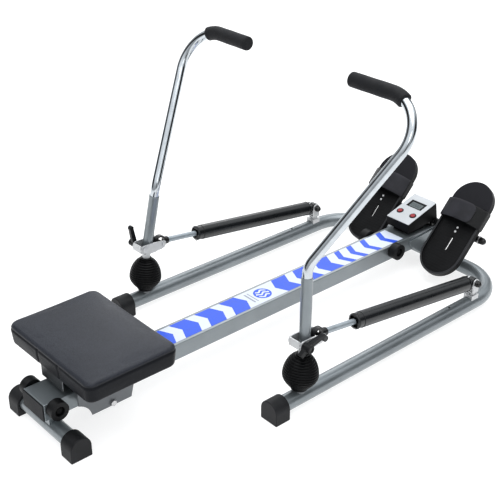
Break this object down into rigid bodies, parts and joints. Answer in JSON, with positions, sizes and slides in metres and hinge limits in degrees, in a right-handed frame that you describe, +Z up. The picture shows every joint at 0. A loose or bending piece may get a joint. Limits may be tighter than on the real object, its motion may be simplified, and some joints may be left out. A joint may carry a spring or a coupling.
{
  "type": "rowing machine",
  "caption": "Free-standing rowing machine: a seat rolling on a rail, two swinging arms worked against hydraulic dampers, and rocking footrests.",
  "frame": {"origin": "floor, under the centre of the bounding box", "axes": "+Y from the seat to the footrests, +X to the right arm, +Z up"},
  "size_m": [0.7362, 1.2944, 0.6715],
  "materials": {
    "frame_paint": "satin silver-grey paint",
    "bracket_steel": "satin zinc",
    "carriage_paint": "satin dark grey paint",
    "black_steel": "black oxide",
    "damper_paint": "satin black paint",
    "zinc": "bright zinc",
    "chrome": "polished",
    "black_plastic": "fine texture",
    "foot_plastic": "satin",
    "roller_nylon": "plain",
    "black_rubber": "satin",
    "grip_foam": "closed-cell foam",
    "vinyl": "grained vinyl over foam",
    "decal": "printed film",
    "console_silver": "satin silver",
    "display": "clear window over a liquid crystal display",
    "circuit": "solder mask",
    "red_plastic": "plain",
    "webbing": "woven"
  },
  "bodies": {
    "frame": {"base_tube": "frame_paint", "rail": "frame_paint", "rail_decal": "decal", "rear_cross_tube": "frame_paint", "frame_brackets": "frame_paint", "rail_end_plugs": "black_plastic", "foot_caps": "foot_plastic", "rail_bumpers": "black_rubber", "bumper_bolts": "black_steel", "arm_mounts": "bracket_steel", "damper_mounts": "bracket_steel", "axle_bracket": "black_steel", "footrest_axle": "zinc", "axle_hardware": "black_steel", "console_mount": "black_plastic", "console_case": "black_plastic", "console_face": "console_silver", "console_window": "display", "console_board": "circuit"},
    "seat": {"seat_cushion": "vinyl", "seat_board": "black_plastic", "seat_carriage": "carriage_paint", "carriage_bolts": "zinc"},
    "rear_roller": {"roller_rear": "roller_nylon"},
    "front_roller": {"roller_front": "roller_nylon"},
    "lower_roller": {"roller_lower": "roller_nylon"},
    "left_button": {"button_left": "red_plastic"},
    "right_button": {"button_right": "red_plastic"},
    "cross_right": {"joint_cross_right": "zinc", "bellows_right": "black_rubber"},
    "arm_right": {"arm_yoke_right": "bracket_steel", "lower_tube_right": "frame_paint", "upper_tube_right": "chrome", "grip_right": "grip_foam", "yoke_bolts_right": "black_steel"},
    "lever_right": {"clamp_lever_right": "black_plastic"},
    "swivel_right": {"damper_clevis_right": "bracket_steel", "damper_bolt_right": "black_steel"},
    "cylinder_right": {"damper_cylinder_right": "damper_paint", "damper_gland_right": "damper_paint"},
    "rod_right": {"damper_rod_right": "chrome", "rod_eye_right": "black_steel"},
    "pedal_right": {"footrest_right": "foot_plastic", "footrest_strap_right": "webbing"},
    "cross_left": {"joint_cross_left": "zinc", "bellows_left": "black_rubber"},
    "arm_left": {"arm_yoke_left": "bracket_steel", "lower_tube_left": "frame_paint", "upper_tube_left": "chrome", "grip_left": "grip_foam", "yoke_bolts_left": "black_steel"},
    "lever_left": {"clamp_lever_left": "black_plastic"},
    "swivel_left": {"damper_clevis_left": "bracket_steel", "damper_bolt_left": "black_steel"},
    "cylinder_left": {"damper_cylinder_left": "damper_paint", "damper_gland_left": "damper_paint"},
    "rod_left": {"damper_rod_left": "chrome", "rod_eye_left": "black_steel"},
    "pedal_left": {"footrest_left": "foot_plastic", "footrest_strap_left": "webbing"}
  },
  "joints": [
    {"name": "seat_slide", "type": "slide", "parent": "frame", "child": "seat", "axis": [0, 1, 0], "range_m": [0, 0.8]},
    {"name": "rear_roller_spin", "type": "hinge", "parent": "seat", "child": "rear_roller", "pos_m": [0, -0.54824, 0.1166], "axis": [-1, 0, 0], "continuous": true},
    {"name": "front_roller_spin", "type": "hinge", "parent": "seat", "child": "front_roller", "pos_m": [0, -0.44324, 0.1166], "axis": [-1, 0, 0], "continuous": true},
    {"name": "lower_roller_spin", "type": "hinge", "parent": "seat", "child": "lower_roller", "pos_m": [0, -0.49524, 0.0497], "axis": [1, 0, 0], "continuous": true},
    {"name": "left_button_press", "type": "slide", "parent": "frame", "child": "left_button", "axis": [0, 0.2675, -0.9636], "range_m": [0, 0.0015], "stiffness_N_per_m": 600, "springref_m": -0.001},
    {"name": "right_button_press", "type": "slide", "parent": "frame", "child": "right_button", "axis": [0, 0.2675, -0.9636], "range_m": [0, 0.0015], "stiffness_N_per_m": 600, "springref_m": -0.001},
    {"name": "arm_swing_right", "type": "hinge", "parent": "frame", "child": "cross_right", "pos_m": [0.28, -0.16324, 0.081], "axis": [1, 0, 0], "range_deg": [-10, 36], "deforming": ["bellows_right"]},
    {"name": "arm_tilt_right", "type": "hinge", "parent": "cross_right", "child": "arm_right", "pos_m": [0.28, -0.16324, 0.081], "axis": [0, 1, 0], "range_deg": [-10, 10]},
    {"name": "clamp_lever_right", "type": "hinge", "parent": "arm_right", "child": "lever_right", "pos_m": [0.28, -0.16924, 0.167], "axis": [1, 0, 0], "range_deg": [0, 80]},
    {"name": "damper_yaw_right", "type": "hinge", "parent": "frame", "child": "swivel_right", "pos_m": [0.28, 0.42576, 0.062], "axis": [0, 0, 1], "range_deg": [-2, 2]},
    {"name": "damper_pitch_right", "type": "hinge", "parent": "swivel_right", "child": "cylinder_right", "pos_m": [0.28, 0.42576, 0.087], "axis": [1, 0, 0], "range_deg": [-1.2, 0.5]},
    {"name": "damper_stroke_right", "type": "slide", "parent": "cylinder_right", "child": "rod_right", "axis": [0, -0.9899, 0.1414], "range_m": [-0.02, 0.062]},
    {"name": "footrest_rock_right", "type": "hinge", "parent": "frame", "child": "pedal_right", "pos_m": [0.13, 0.57176, 0.114], "axis": [1, 0, 0], "range_deg": [-20, 12]},
    {"name": "arm_swing_left", "type": "hinge", "parent": "frame", "child": "cross_left", "pos_m": [-0.28, -0.16324, 0.081], "axis": [1, 0, 0], "range_deg": [-10, 36], "deforming": ["bellows_left"]},
    {"name": "arm_tilt_left", "type": "hinge", "parent": "cross_left", "child": "arm_left", "pos_m": [-0.28, -0.16324, 0.081], "axis": [0, -1, 0], "range_deg": [-10, 10]},
    {"name": "clamp_lever_left", "type": "hinge", "parent": "arm_left", "child": "lever_left", "pos_m": [-0.28, -0.16924, 0.167], "axis": [1, 0, 0], "range_deg": [-83, 0]},
    {"name": "damper_yaw_left", "type": "hinge", "parent": "frame", "child": "swivel_left", "pos_m": [-0.28, 0.42576, 0.062], "axis": [0, 0, -1], "range_deg": [-2, 2]},
    {"name": "damper_pitch_left", "type": "hinge", "parent": "swivel_left", "child": "cylinder_left", "pos_m": [-0.28, 0.42576, 0.087], "axis": [1, 0, 0], "range_deg": [-1.2, 0.5]},
    {"name": "damper_stroke_left", "type": "slide", "parent": "cylinder_left", "child": "rod_left", "axis": [0, -0.9899, 0.1414], "range_m": [-0.02, 0.062]},
    {"name": "footrest_rock_left", "type": "hinge", "parent": "frame", "child": "pedal_left", "pos_m": [-0.13, 0.57176, 0.114], "axis": [1, 0, 0], "range_deg": [-20, 12]}
  ],
  "couplings": [
    {"joint": "rear_roller_spin", "follows": "seat_slide", "rad_per_m": 66.667},
    {"joint": "front_roller_spin", "follows": "seat_slide", "rad_per_m": 66.667},
    {"joint": "lower_roller_spin", "follows": "seat_slide", "rad_per_m": 90.909},
    {"joint": "damper_yaw_right", "follows": "arm_tilt_right", "ratio": 0.154},
    {"joint": "damper_pitch_right", "follows": "arm_swing_right", "ratio": -0.0276},
    {"joint": "damper_stroke_right", "follows": "arm_swing_right", "m_per_rad": 0.0926},
    {"joint": "damper_yaw_left", "follows": "arm_tilt_left", "ratio": 0.154},
    {"joint": "damper_pitch_left", "follows": "arm_swing_left", "ratio": -0.0276},
    {"joint": "damper_stroke_left", "follows": "arm_swing_left", "m_per_rad": 0.0926}
  ]
}
